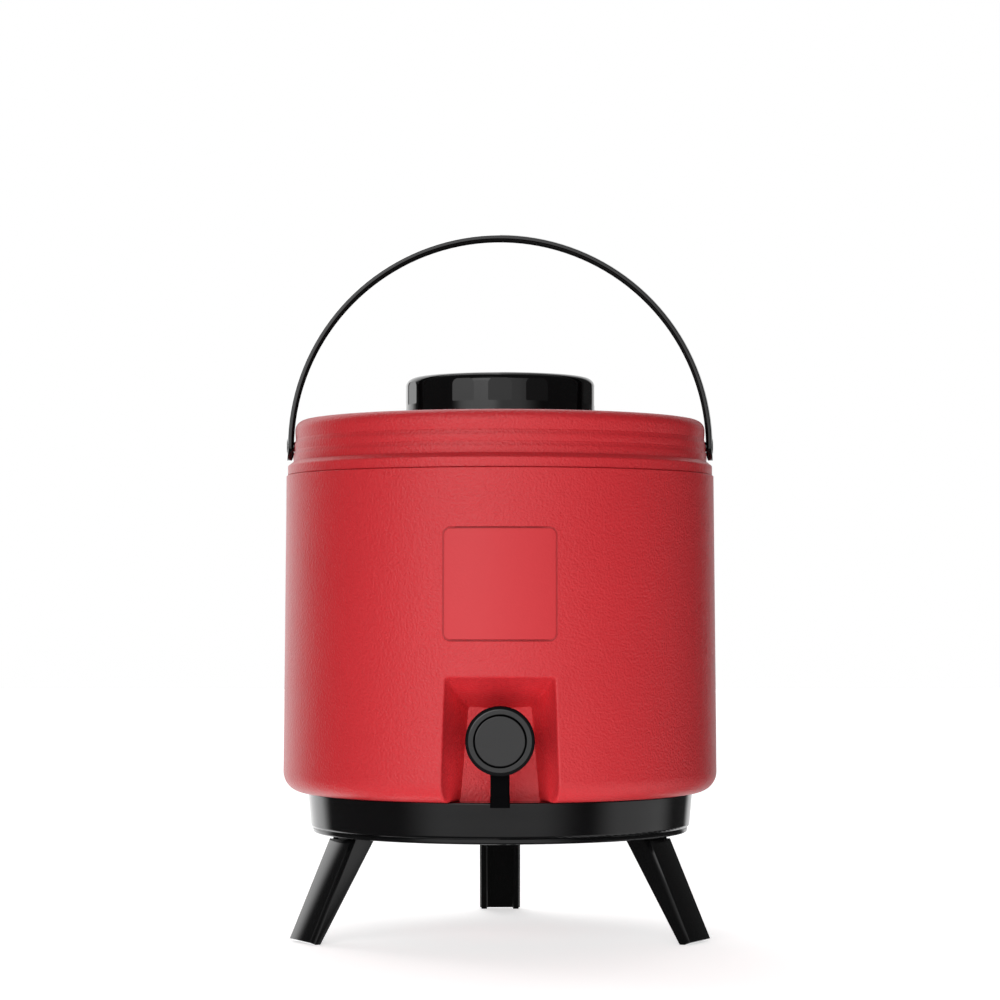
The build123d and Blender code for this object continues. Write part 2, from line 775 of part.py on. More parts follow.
def carry_handle():
    """Bail handle: a half ring of domed strap with round ends about the pivots."""
    half = handle_width / 2
    inner = handle_edge_reach
    outer = inner + handle_thickness
    section = make_face(
        Curve(
            children=[
                ThreePointArc((outer, -half), (outer + handle_crown, 0), (outer, half)),
                Line((outer, half), (inner, half)),
                ThreePointArc((inner, half), (inner + handle_crown, 0), (inner, -half)),
                Line((inner, -half), (outer, -half)),
            ]
        )
    )
    section = Pos(0, 0, pivot_height) * fillet(section.vertices(), handle_edge_round)
    strap = revolve(section, Axis((0, 0, pivot_height), (0, -1, 0)), 180)
    tab = extrude(section, amount=half, dir=(0, 0, -1))
    strap = joined(strap, [tab, Rot(0, 0, 180) * tab])
    below = Box(3 * handle_radius, 2 * handle_width, 2 * handle_radius)
    below = Pos(0, 0, pivot_height - handle_radius) * below
    across = Pos(0, 0, pivot_height) * Rot(0, 90, 0) * Cylinder(half, 3 * handle_radius)
    strap = strap - (below - across)
    shaft = disc(handle_pin_radius + turn_gap, 0, 2 * handle_thickness)
    shaft = sideways(shaft, inner - handle_thickness / 2)
    recess_depth = handle_pin_head_height + 2 * flat_gap
    recess = disc(handle_pin_head_radius + skin_gap, 0, 2 * handle_thickness)
    recess = sideways(recess, handle_radius - recess_depth)
    for side in (0, 180):
        strap = strap - Rot(0, 0, side) * (shaft + recess)
    return strap


def handle_pin():
    """Rivet that the handle turns on, drawn at +X with its head in the strap."""
    start = handle_pin_start()
    head_foot = handle_radius - flat_gap - handle_pin_head_height
    shaft = sideways(disc(handle_pin_radius, 0, head_foot - start), start)
    head = sideways(disc(handle_pin_head_radius, 0, handle_pin_head_height), head_foot)
    return shaft + head


def lid_cap():
    """Screw cap with flats for grip, a skirt for the thread and ribs that hold what is inside."""
    skirt_inner = neck_outer + lid_thread_room
    skirt_outer = lid_skirt_outer
    wall_inner = lid_radius - lid_wall
    seat_outer = neck_outer
    seat_inner = neck_outer - lid_seat_width
    seat_foot = neck_rim + gasket_thickness + flat_gap
    rib_outer = plug_radius - plug_wall - turn_gap
    rib_inner = rib_outer - plug_rib_width
    rib_foot = lid_ceiling - plug_rib_height
    skirt_foot = lid_foot + lid_skirt_rise
    points = [
        (0, lid_crown - lid_dish_depth),
        (lid_dish_radius, lid_crown - lid_dish_depth),
        (lid_dish_radius + lid_dish_slope, lid_crown),
        (lid_radius, lid_crown),
        (lid_radius, lid_foot),
        (wall_inner, lid_foot),
        (wall_inner, lid_ceiling),
        (skirt_outer, lid_ceiling),
        (skirt_outer, skirt_foot),
        (skirt_inner, skirt_foot),
        (skirt_inner, lid_ceiling),
        (seat_outer, lid_ceiling),
        (seat_outer, seat_foot),
        (seat_inner, seat_foot),
        (seat_inner, lid_ceiling),
        (rib_outer, lid_ceiling),
        (rib_outer, rib_foot),
        (rib_inner, rib_foot),
        (rib_inner, lid_ceiling),
        (0, lid_ceiling),
    ]
    inner_round = (wall_inner - skirt_outer) / 2
    rounds = [0] * len(points)
    rounds[3] = lid_top_round
    rounds[4] = lid_foot_round
    rounds[5] = lid_foot_round
    rounds[6] = inner_round
    cap = turned(points, rounds)
    flat_plane = lid_radius - lid_flat_depth
    flat_foot = lid_foot + lid_flat_rise
    flat_head = flat_foot + lid_flat_height
    half = lid_flat_width / 2
    outline = [(-half, flat_foot), (half, flat_foot), (half, flat_head), (-half, flat_head)]
    corners = [lid_flat_foot_corner] * 2 + [lid_flat_top_corner] * 2
    flat = extrude(profile(outline, corners), amount=lid_radius, dir=(0, -1, 0))
    step = 360.0 / lid_flat_count
    for cut in around(Pos(0, -flat_plane, 0) * flat, [step * n for n in range(lid_flat_count)]):
        cap = cap - cut
    return cap


def lid_gasket():
    """Soft ring between the neck's rim and the lid."""
    outer = neck_outer + lid_thread_room - skin_gap
    return tube(outer, outer - gasket_width, neck_rim, neck_rim + gasket_thickness)


def lid_inner_cover():
    """Cup that closes the lid from below and hangs in the neck."""
    top = lid_ceiling - flat_gap
    foot = lid_ceiling - plug_depth
    outside = [(0, foot), (plug_radius, foot), (plug_radius, top), (0, top)]
    inside_radius = plug_radius - plug_wall
    inside = [
        (0, foot + plug_wall),
        (inside_radius, foot + plug_wall),
        (inside_radius, top + cut_over),
        (0, top + cut_over),
    ]
    return turned(outside, [0, 2 * plug_wall, 0, 0]) - turned(inside, [0, plug_wall, 0, 0])


def lid_foam():
    """Disc of foam inside the lid's cup, notched round the lid's rib."""
    foot = lid_ceiling - plug_depth + plug_wall + skin_gap
    outer = plug_radius - plug_wall - skin_gap
    rib_inner = plug_radius - plug_wall - turn_gap - plug_rib_width - skin_gap
    rib_foot = lid_ceiling - plug_rib_height - skin_gap
    top = lid_ceiling - skin_gap
    points = [
        (0, foot),
        (outer, foot),
        (outer, rib_foot),
        (rib_inner, rib_foot),
        (rib_inner, top),
        (0, top),
    ]
    return turned(points, [0, plug_wall, 0, 0, 0, 0])


def tap_body():
    """Tap body: shank, flange, valve seat, barrel and spout."""
    points = [
        (0, tap_shank_end),
        (tap_shank_radius, tap_shank_end),
        (tap_shank_radius, tap_flange_back),
        (tap_flange_radius, tap_flange_back),
        (tap_flange_radius, tap_web_back),
        (tap_barrel_radius, tap_web_back),
        (tap_barrel_radius, tap_barrel_end),
        (0, tap_barrel_end),
    ]
    rounds = [0, 0, 0, 0, tap_edge_round, tap_edge_round, 0, 0]
    body = on_tap_axis(turned(points, rounds))
    spout_foot = base_top - spout_end_drop
    lip = spout_block(spout_foot, spout_foot + spout_lip_height, spout_lip_step)
    body = body + spout_block(spout_foot, tap_height, 0) + lip
    chamber = disc(tap_chamber_radius, tap_web_front, tap_barrel_end + cut_over)
    shank_bore = disc(tap_shank_bore, tap_shank_end - cut_over, tap_web_back)
    seat_hole = disc(tap_seat_radius, tap_web_back - cut_over, tap_web_front + cut_over)
    body = body - on_tap_axis(chamber) - on_tap_axis(shank_bore) - on_tap_axis(seat_hole)
    return body - Pos(0, -spout_reach, 0) * disc(spout_bore, spout_foot - cut_over, tap_height)


def spout_block(low, high, grow):
    """The spout's outside between two heights: a square tube whose front leans back downwards."""
    foot = base_top - spout_end_drop
    front_foot = spout_reach + spout_bore + spout_wall
    front_lean = (tap_barrel_end - spout_front_inset - front_foot) / (tap_height - foot)
    back = spout_reach - spout_bore - spout_wall - grow
    points = [
        (back, low),
        (front_foot + front_lean * (low - foot) + grow, low),
        (front_foot + front_lean * (high - foot) + grow, high),
        (back, high),
    ]
    half = spout_width / 2 + grow
    block = Rot(0, 0, -90) * radial_slab(points, -half, half)
    upright = block.edges().filter_by(lambda edge: abs((edge @ 1).Z - (edge @ 0).Z) > (high - low) / 2)
    return fillet(upright, spout_corner)


def tap_outer_washer():
    """Soft washer between the tap's flange and the niche's back wall."""
    hole_radius = tap_shank_radius + turn_gap
    return on_tap_axis(tube(outer_washer_radius, hole_radius, niche_reach, tap_flange_back))


def tap_inner_washer():
    """Soft washer between the liner and the nut."""
    front = liner_back_inner
    washer = tube(outer_washer_radius, tap_shank_radius + turn_gap, front - washer_thickness, front)
    return on_tap_axis(washer)


def tap_nut():
    """Hexagon nut on the shank, inside the liner."""
    front = liner_back_inner - washer_thickness
    hexagon = RegularPolygon(nut_width_across_flats / 2, 6, major_radius=False)
    nut = Pos(0, 0, front - nut_thickness) * extrude(hexagon, amount=nut_thickness)
    return on_tap_axis(nut - disc(tap_shank_radius + turn_gap, 0, niche_reach))


def tap_bezel():
    """Round cup on the barrel's end that frames the button and guides the stem."""
    spigot_end = tap_barrel_end - bezel_spigot_depth
    spigot_outer = tap_chamber_radius - turn_gap
    points = [
        (stem_radius + turn_gap, spigot_end),
        (spigot_outer, spigot_end),
        (spigot_outer, tap_barrel_end),
        (bezel_radius, tap_barrel_end),
        (bezel_radius, bezel_front),
        (bezel_hole_radius, bezel_front),
        (bezel_hole_radius, bezel_floor_front),
        (stem_radius + turn_gap, bezel_floor_front),
    ]
    rounds = [0, 0, 0, bezel_edge_round, bezel_edge_round, tap_edge_round / 2, 0, 0]
    groove = tube(stem_radius + 2 * ring_wire_radius + turn_gap, stem_radius / 2, *ring_groove())
    return on_tap_axis(turned(points, rounds) - groove)


def ring_groove():
    """Start and end, along the tap, of the groove that holds the stem's ring."""
    middle = tap_barrel_end
    half = ring_wire_radius + turn_gap
    return (middle - half, middle + half)


def tap_stem_ring():
    """Soft ring that seals the stem where it leaves the chamber."""
    ring = Torus(stem_radius + turn_gap / 2 + ring_wire_radius, ring_wire_radius)
    return on_tap_axis(Pos(0, 0, tap_barrel_end) * ring)


def tap_button():
    """Round button with a hub for the stem, in front of the bezel's floor."""
    radius = bezel_hole_radius - button_gap
    front = bezel_front + button_proud
    back = bezel_floor_front + button_travel + skin_gap
    web = front - button_face_thickness
    socket_radius = stem_radius + turn_gap
    socket_end = back + stem_entry
    points = [
        (0, front),
        (radius, front),
        (radius, back),
        (radius - button_skirt_wall, back),
        (radius - button_skirt_wall, web),
        (button_hub_radius, web),
        (button_hub_radius, back),
        (socket_radius, back),
        (socket_radius, socket_end + flat_gap),
        (0, socket_end + flat_gap),
    ]
    rounds = [0, button_edge_round] + [0] * 8
    return on_tap_axis(turned(points, rounds))


def tap_stem():
    """Valve stem: head behind the seal, collar for the spring, and an end in the button."""
    seat_back = tap_web_back - flat_gap
    seal_back = seat_back - seal_thickness
    head_back = seal_back - stem_head_height
    collar_front = tap_barrel_end - stem_collar_gap
    collar_back = collar_front - stem_collar_thickness
    end = bezel_floor_front + button_travel + skin_gap + stem_entry
    points = [
        (0, head_back),
        (stem_head_radius, head_back),
        (stem_head_radius, seal_back),
        (stem_radius, seal_back),
        (stem_radius, collar_back),
        (stem_collar_radius, collar_back),
        (stem_collar_radius, collar_front),
        (stem_radius, collar_front),
        (stem_radius, end),
        (0, end),
    ]
    return on_tap_axis(turned(points))


def tap_seal():
    """Soft disc that closes the valve seat from the tank's side."""
    front = tap_web_back - flat_gap
    return on_tap_axis(tube(seal_radius, stem_radius + turn_gap, front - seal_thickness, front))


def tap_spring():
    """Coil spring between the valve seat's web and the stem's collar."""
    start = tap_web_front + spring_wire_radius + flat_gap
    collar_back = tap_barrel_end - stem_collar_gap - stem_collar_thickness
    end = collar_back - spring_wire_radius - flat_gap
    coil = Helix(pitch=(end - start) / spring_turns, height=end - start, radius=spring_radius)
    section = Plane(coil @ 0, z_dir=coil % 0) * Circle(spring_wire_radius)
    return on_tap_axis(Pos(0, 0, start) * sweep(section, path=coil))


def main():
    os.makedirs("parts", exist_ok=True)
    save("outer_shell", outer_shell())
    save("shell_top", shell_top())
    save("foam_insulation", foam_insulation())
    save("inner_liner", inner_liner())
    save("foam_plug", foam_plug())
    save("base_ring", base_ring())
    save("base_screws", Compound(children=around(base_screw(), screw_azimuths)))
    for name, azimuth in zip(leg_names, leg_azimuths):
        save(name, Rot(0, 0, azimuth) * leg())
    save("leg_pins", Compound(children=around(leg_pin(), leg_azimuths)))
    save("carry_handle", carry_handle())
    save("handle_pins", Compound(children=around(handle_pin(), (0, 180))))
    save("lid_cap", lid_cap())
    save("lid_gasket", lid_gasket())
    save("lid_inner_cover", lid_inner_cover())
    save("lid_foam", lid_foam())
    save("tap_body", tap_body())
    save("tap_outer_washer", tap_outer_washer())
    save("tap_inner_washer", tap_inner_washer())
    save("tap_nut", tap_nut())
    save("tap_bezel", tap_bezel())
    save("tap_stem_ring", tap_stem_ring())
    save("tap_button", tap_button())
    save("tap_stem", tap_stem())
    save("tap_seal", tap_seal())
    save("tap_spring", tap_spring())


main()
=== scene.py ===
# %% [markdown]
# # An insulated drinks jug with a screw lid, a bail handle, a push-button tap and three legs
# The solid pieces come from the CAD model, which is loaded as a fixed frame: every object is in
# metres, z = 0 is the table and the tap faces -Y. This lesson gives those pieces their finishes,
# models again the ones that need finer forms than the solids have, and sets up camera and light.

# %% Load the frame
import bpy
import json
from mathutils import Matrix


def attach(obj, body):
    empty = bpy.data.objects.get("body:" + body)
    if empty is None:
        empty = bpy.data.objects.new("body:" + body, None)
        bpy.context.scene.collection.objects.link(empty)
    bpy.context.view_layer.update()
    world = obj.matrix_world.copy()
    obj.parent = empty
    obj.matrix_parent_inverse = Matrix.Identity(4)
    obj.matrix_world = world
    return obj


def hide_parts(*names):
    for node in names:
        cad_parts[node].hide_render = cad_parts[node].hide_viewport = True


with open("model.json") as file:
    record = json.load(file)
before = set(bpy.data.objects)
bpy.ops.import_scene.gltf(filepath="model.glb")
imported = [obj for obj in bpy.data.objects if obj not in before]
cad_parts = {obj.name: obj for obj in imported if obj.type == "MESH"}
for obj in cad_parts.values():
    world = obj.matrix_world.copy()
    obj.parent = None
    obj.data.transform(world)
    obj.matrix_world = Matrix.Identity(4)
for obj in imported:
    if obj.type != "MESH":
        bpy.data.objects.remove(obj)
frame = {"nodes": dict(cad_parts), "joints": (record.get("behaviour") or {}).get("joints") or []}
bpy.context.view_layer.update()

# %% [markdown]
# ## Shader sums in plain Python
# A shader is a graph of nodes, and each plus and times in it is a Math node. A formula of ten terms
# could be clicked together by hand, but nobody can read it afterwards. So one small class wraps a
# socket, and the signs of Python add the Math nodes. A second class wraps the graph. Its method add
# makes a node of any kind, sets it up, and then fills its sockets with numbers or with links, and
# two shorter methods use it for what is done with vectors.

# %% Shader sums in plain Python
import math


class Value:
    """A number on its way through a shader, so that sums can be written as in Python."""

    def __init__(self, tree, socket):
        self.tree = tree
        self.socket = socket

    def work(self, operation, *others):
        """The result of a Math node on this number and the others."""
        return self.tree.add("ShaderNodeMath", {"operation": operation}, dict(enumerate((self, *others))))

    def __add__(self, other):
        return self.work("ADD", other)

    def __radd__(self, other):
        return self.work("ADD", other)

    def __sub__(self, other):
        return self.work("SUBTRACT", other)

    def __rsub__(self, other):
        return self.work("MULTIPLY", -1.0).work("ADD", other)

    def __mul__(self, other):
        return self.work("MULTIPLY", other)

    def __rmul__(self, other):
        return self.work("MULTIPLY", other)


class Tree:
    """The node tree of one material or of the world."""

    def __init__(self, owner):
        owner.use_nodes = True
        self.nodes = owner.node_tree.nodes
        self.links = owner.node_tree.links
        self.nodes.clear()

    def add(self, kind, settings=None, inputs=None, output=0):
        """Adds a node and gives back one of its outputs, or several where a tuple names them."""
        node = self.nodes.new(kind)
        for name, setting in (settings or {}).items():
            setattr(node, name, setting)
        for name, value in (inputs or {}).items():
            if isinstance(value, Value):
                self.links.new(value.socket, node.inputs[name])
            else:
                node.inputs[name].default_value = value
        if isinstance(output, tuple):
            return [Value(self, node.outputs[name]) for name in output]
        return Value(self, node.outputs[output]) if len(node.outputs) else None

    def vector_work(self, operation, first, second=None, output="Vector"):
        """The result of a Vector Math node on one or two vectors."""
        inputs = {0: first} if second is None else {0: first, 1: second}
        return self.add("ShaderNodeVectorMath", {"operation": operation}, inputs, output)

    def split(self, vector):
        """The three numbers of a vector."""
        return self.add("ShaderNodeSeparateXYZ", None, {0: vector}, output=("X", "Y", "Z"))


print("ready for shader sums")

# %% [markdown]
# ## Soft edges
# Light from a soft box has no hard border, and neither has a sunk line or a polished rim. All of
# them fade over some distance. A colour ramp could do it, but Map Range with its Smoother Step
# setting takes the two distances as they are, and leaves no kink at either end.

# %% Fade with distance
def fade(tree, distance, near, far, inside=1.0, outside=0.0):
    """One value up to the near distance, the other past the far one, and smooth between them."""
    settings = {"interpolation_type": "SMOOTHERSTEP"}
    edges = {1: near, 2: far, 3: inside, 4: outside}
    return tree.add("ShaderNodeMapRange", settings, {0: distance, **edges})


def window(tree, angle, middle, half_width, softness):
    """1 inside a window of directions, 0 outside, with soft edges; angles in degrees."""
    distance = (angle - math.radians(middle)).work("ABSOLUTE")
    return fade(tree, distance, math.radians(half_width - softness), math.radians(half_width + softness))


def round_lamp(tree, direction, azimuth, height, radius, softness):
    """1 inside a round lamp, 0 outside; angles in degrees."""
    turn, lift = math.radians(azimuth), math.radians(height)
    towards = (math.cos(lift) * math.sin(turn), -math.cos(lift) * math.cos(turn), math.sin(lift))
    closeness = tree.vector_work("DOT_PRODUCT", direction, towards, output="Value")
    return window(tree, closeness.work("ARCCOSINE"), 0.0, radius, softness)


print("ready for soft edges")

# %% [markdown]
# ## Where the light comes from
# The jug is glossy, so most of what the eye reads as "plastic" is the reflection of the room. The
# real studio seems to have had a broad soft box in front, which is strongest at its upper left, a
# low box at the right, and two white walls behind, with dark gaps between them. Area lamps could
# stand for them, but they also show as shapes in other views, and each needs its own place. Here
# every box is a window of directions in the world's background. It is written as its middle, its
# half width and the softness of its edges, first round the jug and then upwards, and its strength.
# Angles round the jug start at the camera's side, grow to the right and end at 180 and -180 degrees
# behind the jug, so a wall that reaches farther is cut off there. Two round lamps, one in front and
# one behind, fill in the red shell and the table. The camera sees plain white instead of all this.

# %% The studio round the jug
AMBIENT = 0.06
BOXES = {
    "front box": ((-6.0, 42.0, 20.0), (9.0, 25.0, 6.0), 0.86),
    "upper left of the front box": ((-28.0, 24.0, 9.0), (18.0, 15.0, 3.0), 1.35),
    "low side box": ((92.0, 27.0, 14.0), (-35.0, 27.0, 4.0), 0.85),
    "left back wall": ((-165.0, 36.0, 9.0), (0.0, 110.0, 5.0), 1.6),
    "right back wall": ((192.0, 40.0, 7.0), (0.0, 110.0, 5.0), 0.95),
}
LAMPS = {  # azimuth, height, radius and softness, and then the strength
    "lamp behind": ((180.0, 60.0, 32.0, 12.0), 0.4),
    "lamp in front": ((-10.0, 29.0, 21.0, 9.0), 0.55),
}


def build_studio():
    """World: soft lights all round for the jug, and plain white for the camera."""
    world = bpy.data.worlds.new("studio")
    bpy.context.scene.world = world
    tree = Tree(world)
    direction = tree.add("ShaderNodeTexCoord", output="Generated")
    x, y, z = tree.split(direction)
    around = x.work("ARCTAN2", y * -1.0)
    upward = z.work("ARCSINE")
    light = AMBIENT
    for sideways, heights, strength in BOXES.values():
        light = window(tree, around, *sideways) * window(tree, upward, *heights) * strength + light
    for place, strength in LAMPS.values():
        light = round_lamp(tree, direction, *place) * strength + light
    seen, through = tree.add("ShaderNodeLightPath", output=("Is Camera Ray", "Is Transmission Ray"))
    plain = (seen + through).work("MINIMUM", 1.0)
    shade = light * (1.0 - plain) + plain
    grey = tree.add("ShaderNodeCombineColor", None, {0: shade, 1: shade, 2: shade})
    background = tree.add("ShaderNodeBackground", None, {"Color": grey, "Strength": 1.0})
    tree.add("ShaderNodeOutputWorld", None, {"Surface": background})


build_studio()
print("studio:", ", ".join([*BOXES, *LAMPS]), "and ambient light of", AMBIENT)

# %% [markdown]
# ## The table
# The real jug was photographed on white, so the table has to look white to the camera and still
# catch the jug's shadow. A table that only glows would show no shadow, and one that is only lit
# would come out grey. So this one is both: a lit white surface, which takes the shadow, with some
# glow of its own added. A product table is often lit from beneath as well, and here a soft patch in
# front of the jug glows for everything but the camera, which brightens the niche and all that faces
# down. For the camera the glow is the same all over, so that only the deepest part of the shadow
# shows. Reflections don't show the table. Its glow is wide and weak, so it isn't sampled as a lamp,
# which saves time.

# %% The white table
TABLE_SIZE = 12.0
TABLE_WHITE = (0.9, 0.9, 0.9, 1.0)
TABLE_GLOW = 1.4
GLOW_MIDDLE = (0.0, -0.65, 0.0)
GLOW_EDGES = (0.25, 0.75)
TABLE_OWN_LIGHT = 0.62


def build_table():
    """A wide plain floor, white to the camera but for a soft shadow, with a glow in front."""
    bpy.ops.mesh.primitive_plane_add(size=TABLE_SIZE, location=(0, 0, 0))
    table = bpy.context.active_object
    table.name = "table"
    material = bpy.data.materials.new("white_table")
    tree = Tree(material)
    lit = tree.add("ShaderNodeBsdfDiffuse", None, {"Color": TABLE_WHITE})
    place = tree.add("ShaderNodeTexCoord", output="Object")
    away = tree.vector_work("DISTANCE", place, GLOW_MIDDLE, output="Value")
    glow = fade(tree, away, *GLOW_EDGES, TABLE_GLOW)
    seen = tree.add("ShaderNodeLightPath", output="Is Camera Ray")
    own = glow * (1.0 - seen) + seen * TABLE_OWN_LIGHT
    grey = tree.add("ShaderNodeCombineColor", None, {0: own, 1: own, 2: own})
    bright = tree.add("ShaderNodeEmission", None, {"Color": grey, "Strength": 1.0})
    both = tree.add("ShaderNodeAddShader", None, {0: lit, 1: bright})
    tree.add("ShaderNodeOutputMaterial", None, {"Surface": both})
    material.cycles.emission_sampling = "NONE"
    table.data.materials.append(material)
    table.visible_glossy = False


build_table()
print("the table is", TABLE_SIZE, "m wide")

# %% [markdown]
# ## The camera
# It stands about two metres in front of the tap, a little below the middle of the jug, with a long
# lens, which keeps the sides of the body nearly parallel, and looks up by two degrees. A nearer
# camera with a shorter lens would fill the picture just as well, but the tap, which stands nearest
# to it, would look too big for the body.

# %% The camera
CAMERA_PLACE = (0.0, -2.075, 0.2284)
CAMERA_PITCH = math.radians(2.07)
CAMERA_LENS = 105.6
SENSOR_WIDTH = 36.0
bpy.ops.object.camera_add(location=CAMERA_PLACE, rotation=(math.pi / 2 + CAMERA_PITCH, 0, 0))
camera = bpy.context.active_object
camera.name = "camera"
camera.data.lens = CAMERA_LENS
camera.data.sensor_width = SENSOR_WIDTH
camera.data.dof.use_dof = False
bpy.context.scene.camera = camera
bpy.context.scene.view_settings.view_transform = "Standard"
print("camera", CAMERA_LENS, "mm, at", CAMERA_PLACE)

# %% [markdown]
# ## What the finishes share
# Most pieces are injection-moulded plastic. Such a surface is one colour all through, but the
# colour still wanders by a few percent where the melt cooled faster. Painted maps could show that,
# but they have to be fitted to every piece, while a soft noise on Object coordinates fits them all.
# Every finish starts with those coordinates and ends with one Principled shader.

# %% What every finish starts and ends with
COLOUR_WANDER = 0.04
PATCH_DETAIL = 3.0


def new_material(name):
    """An empty material, its node tree, and the place on the piece that patterns are drawn by."""
    material = bpy.data.materials.new(name)
    tree = Tree(material)
    return material, tree, tree.add("ShaderNodeTexCoord", output="Object")


def blend(tree, share, first, second):
    """A mix of two colours: the first where the share is 0, the second where it is 1."""
    return tree.add("ShaderNodeMix", {"data_type": "RGBA"}, {0: share, 6: first, 7: second}, output=2)


def shaded(colour, share):
    """A darker or brighter shade of a colour, with the fourth number that a colour socket has."""
    return (*(part * share for part in colour), 1.0)


def wandering(tree, place, colour, scale):
    """A colour that wanders by a few percent, and the noise that it follows."""
    noise = {"Vector": place, "Scale": scale, "Detail": PATCH_DETAIL}
    patches = tree.add("ShaderNodeTexNoise", None, noise)
    deep, pale = shaded(colour, 1.0 - COLOUR_WANDER), shaded(colour, 1.0 + COLOUR_WANDER)
    return blend(tree, patches, deep, pale), patches


def finish(tree, sockets):
    """Ends a material with one Principled shader."""
    shader = tree.add("ShaderNodeBsdfPrincipled", None, sockets)
    tree.add("ShaderNodeOutputMaterial", None, {"Surface": shader})


print("ready for finishes")

# %% [markdown]
# ## Plain plastics
# What tells two plastics of one colour apart is their gloss: the steel mould is polished for the
# lid, the base and the legs, and left satin for the white liner. Gloss is one number, the shader's
# roughness, and it wanders a little with the colour, because no moulded skin is perfectly even.

# %% Glossy black and satin white
PLASTIC_PATCHES = 9.0
GLOSS_WANDER = 0.03
PLASTIC_INDEX = 1.46


def plastic(name, colour, roughness):
    """A plain moulded plastic."""
    material, tree, place = new_material(name)
    tint, patches = wandering(tree, place, colour, PLASTIC_PATCHES)
    gloss = roughness + (patches - 0.5) * GLOSS_WANDER
    finish(tree, {"Base Color": tint, "Roughness": gloss, "IOR": PLASTIC_INDEX})
    return material


BLACK = (0.0035, 0.0035, 0.0038)
BLACK_ROUGHNESS = 0.09
LINER_WHITE = (0.78, 0.77, 0.73)
LINER_ROUGHNESS = 0.3
black_gloss = plastic("black_gloss", BLACK, BLACK_ROUGHNESS)
white_liner = plastic("white_liner", LINER_WHITE, LINER_ROUGHNESS)
print("plastics:", black_gloss.name, "and", white_liner.name)

# %% [markdown]
# ## The line round the panel
# The front carries a thin sunk line round a bare square panel with rounded corners. It is cut in
# the solid shell too, but the round skin falls away at its upright sides, where the cut runs out.
# A texture of the line would have to be painted and fitted, and a distance to such a square is easy
# to write down: how far a point lies past the corners' middles, sideways and upwards, less the
# corner's radius. The line is where that distance is close to 0, and the field inside, which is
# smoother than the grained skin round it, is where the distance is below 0.

# %% The line round the panel
PANEL_HALF_WIDTH = 0.038
PANEL_HALF_HEIGHT = 0.0378
PANEL_CORNER = 0.0055
PANEL_MIDDLE = 0.243
LINE_WIDTH = 0.0012
LINE_FADE_SHARES = (0.3, 0.6)


def panel_line(tree, x, y, z):
    """The thin line round the panel on the jug's front, and the field within it: 1 there, 0 elsewhere."""
    sideways = x.work("ABSOLUTE") - (PANEL_HALF_WIDTH - PANEL_CORNER)
    upward = (z - PANEL_MIDDLE).work("ABSOLUTE") - (PANEL_HALF_HEIGHT - PANEL_CORNER)
    past_sideways, past_upward = (past.work("MAXIMUM", 0.0) for past in (sideways, upward))
    past_corner = (past_sideways * past_sideways + past_upward * past_upward).work("SQRT")
    inside = sideways.work("MAXIMUM", upward).work("MINIMUM", 0.0)
    past_line = past_corner + inside - (PANEL_CORNER - LINE_WIDTH / 2)
    edges = (LINE_WIDTH * share for share in LINE_FADE_SHARES)
    line = fade(tree, past_line.work("ABSOLUTE"), *edges)
    front = y.work("LESS_THAN", 0.0)
    return line * front, past_line.work("LESS_THAN", 0.0) * front


print("the panel is", 2 * PANEL_HALF_WIDTH, "m wide, and its line", LINE_WIDTH, "m")

# %% [markdown]
# ## The grooves of the top
# The red top has rounded ridges, one over the other, and on the real jug a thin dark groove runs
# round wherever two of them meet. The solid has the ridges, but they meet in a bare edge, which soft
# light hardly shows. Real grooves could be cut there, but as they are thinner than a millimetre, a
# soft shade at the height of each, and a little depth in the surface's relief, look the same.

# %% The grooves of the top
GROOVES = (0.3354, 0.3432)
GROOVE_HALF_WIDTH = 0.0009
GROOVE_FADE_SHARES = (0.3, 1.7)
GROOVE_SHADE = 0.3


def groove_shade(tree, z):
    """A soft shade at the height of each groove."""
    shade = 0.0
    for height in GROOVES:
        off_groove = (z - height).work("ABSOLUTE")
        edges = (GROOVE_HALF_WIDTH * share for share in GROOVE_FADE_SHARES)
        shade = fade(tree, off_groove, *edges, GROOVE_SHADE) + shade
    return shade


print("grooves at", GROOVES)

# %% [markdown]
# ## Deep in the niche
# The niche's walls throw red light on each other many times over, which few bounces of light can
# show. More bounces would slow every picture down. Instead painted light makes the red a little
# brighter deep in the niche, and it fades to the plain colour at the mouth. How deep a point lies is
# told by its distance from the jug's axis: the back wall is nearest to it, and the mouth is almost as far
# out as the skin.

# %% Deep in the niche
NICHE_TOP = 0.195
NICHE_HALF_WIDTH = 0.0385
NICHE_MOUTH = 0.149
NICHE_FADE = 0.014


def deep_niche(tree, x, y, z):
    """1 deep in the niche, 0 at its mouth and on the rest of the jug."""
    from_axis = (x * x + y * y).work("SQRT")
    edges = {1: NICHE_MOUTH - NICHE_FADE, 2: NICHE_MOUTH, 3: 1.0, 4: 0.0}
    deep = tree.add("ShaderNodeMapRange", None, {0: from_axis, **edges})
    low = z.work("LESS_THAN", NICHE_TOP)
    between_walls = x.work("ABSOLUTE").work("LESS_THAN", NICHE_HALF_WIDTH)
    return deep * low * between_walls * y.work("LESS_THAN", 0.0)


print("the niche's red fades over", NICHE_FADE, "m")

# %% [markdown]
# ## The red shell
# The real shell is etched with fine pebbles, which break up its reflections. Modelled pebbles would
# take millions of faces, so a noise texture feeds a Bump node, which tilts the surface for the light
# alone. The panel's field is nearly smooth. Its line and the grooves are sunk, and they are darker
# with painted shade where shade gathers in them. Deep in the niche the red is brighter with painted
# light.

# %% The red shell
RED = (0.62, 0.026, 0.034)
RED_ROUGHNESS = 0.36
GRAIN_SIZE = 0.0016
GRAIN_DEPTH = 0.00055
GRAIN_DETAIL = 2.0
PANEL_SMOOTHNESS = 0.8
LINE_DEPTH = 0.0003
# The next two darken the panel's line and the grooves with painted shade; the third brightens the niche
# with painted light.
PAINTED_SHADE_SHARE = 0.4
PAINTED_SHADE_TONE = 0.4
NICHE_PAINTED_LIGHT = 1.45


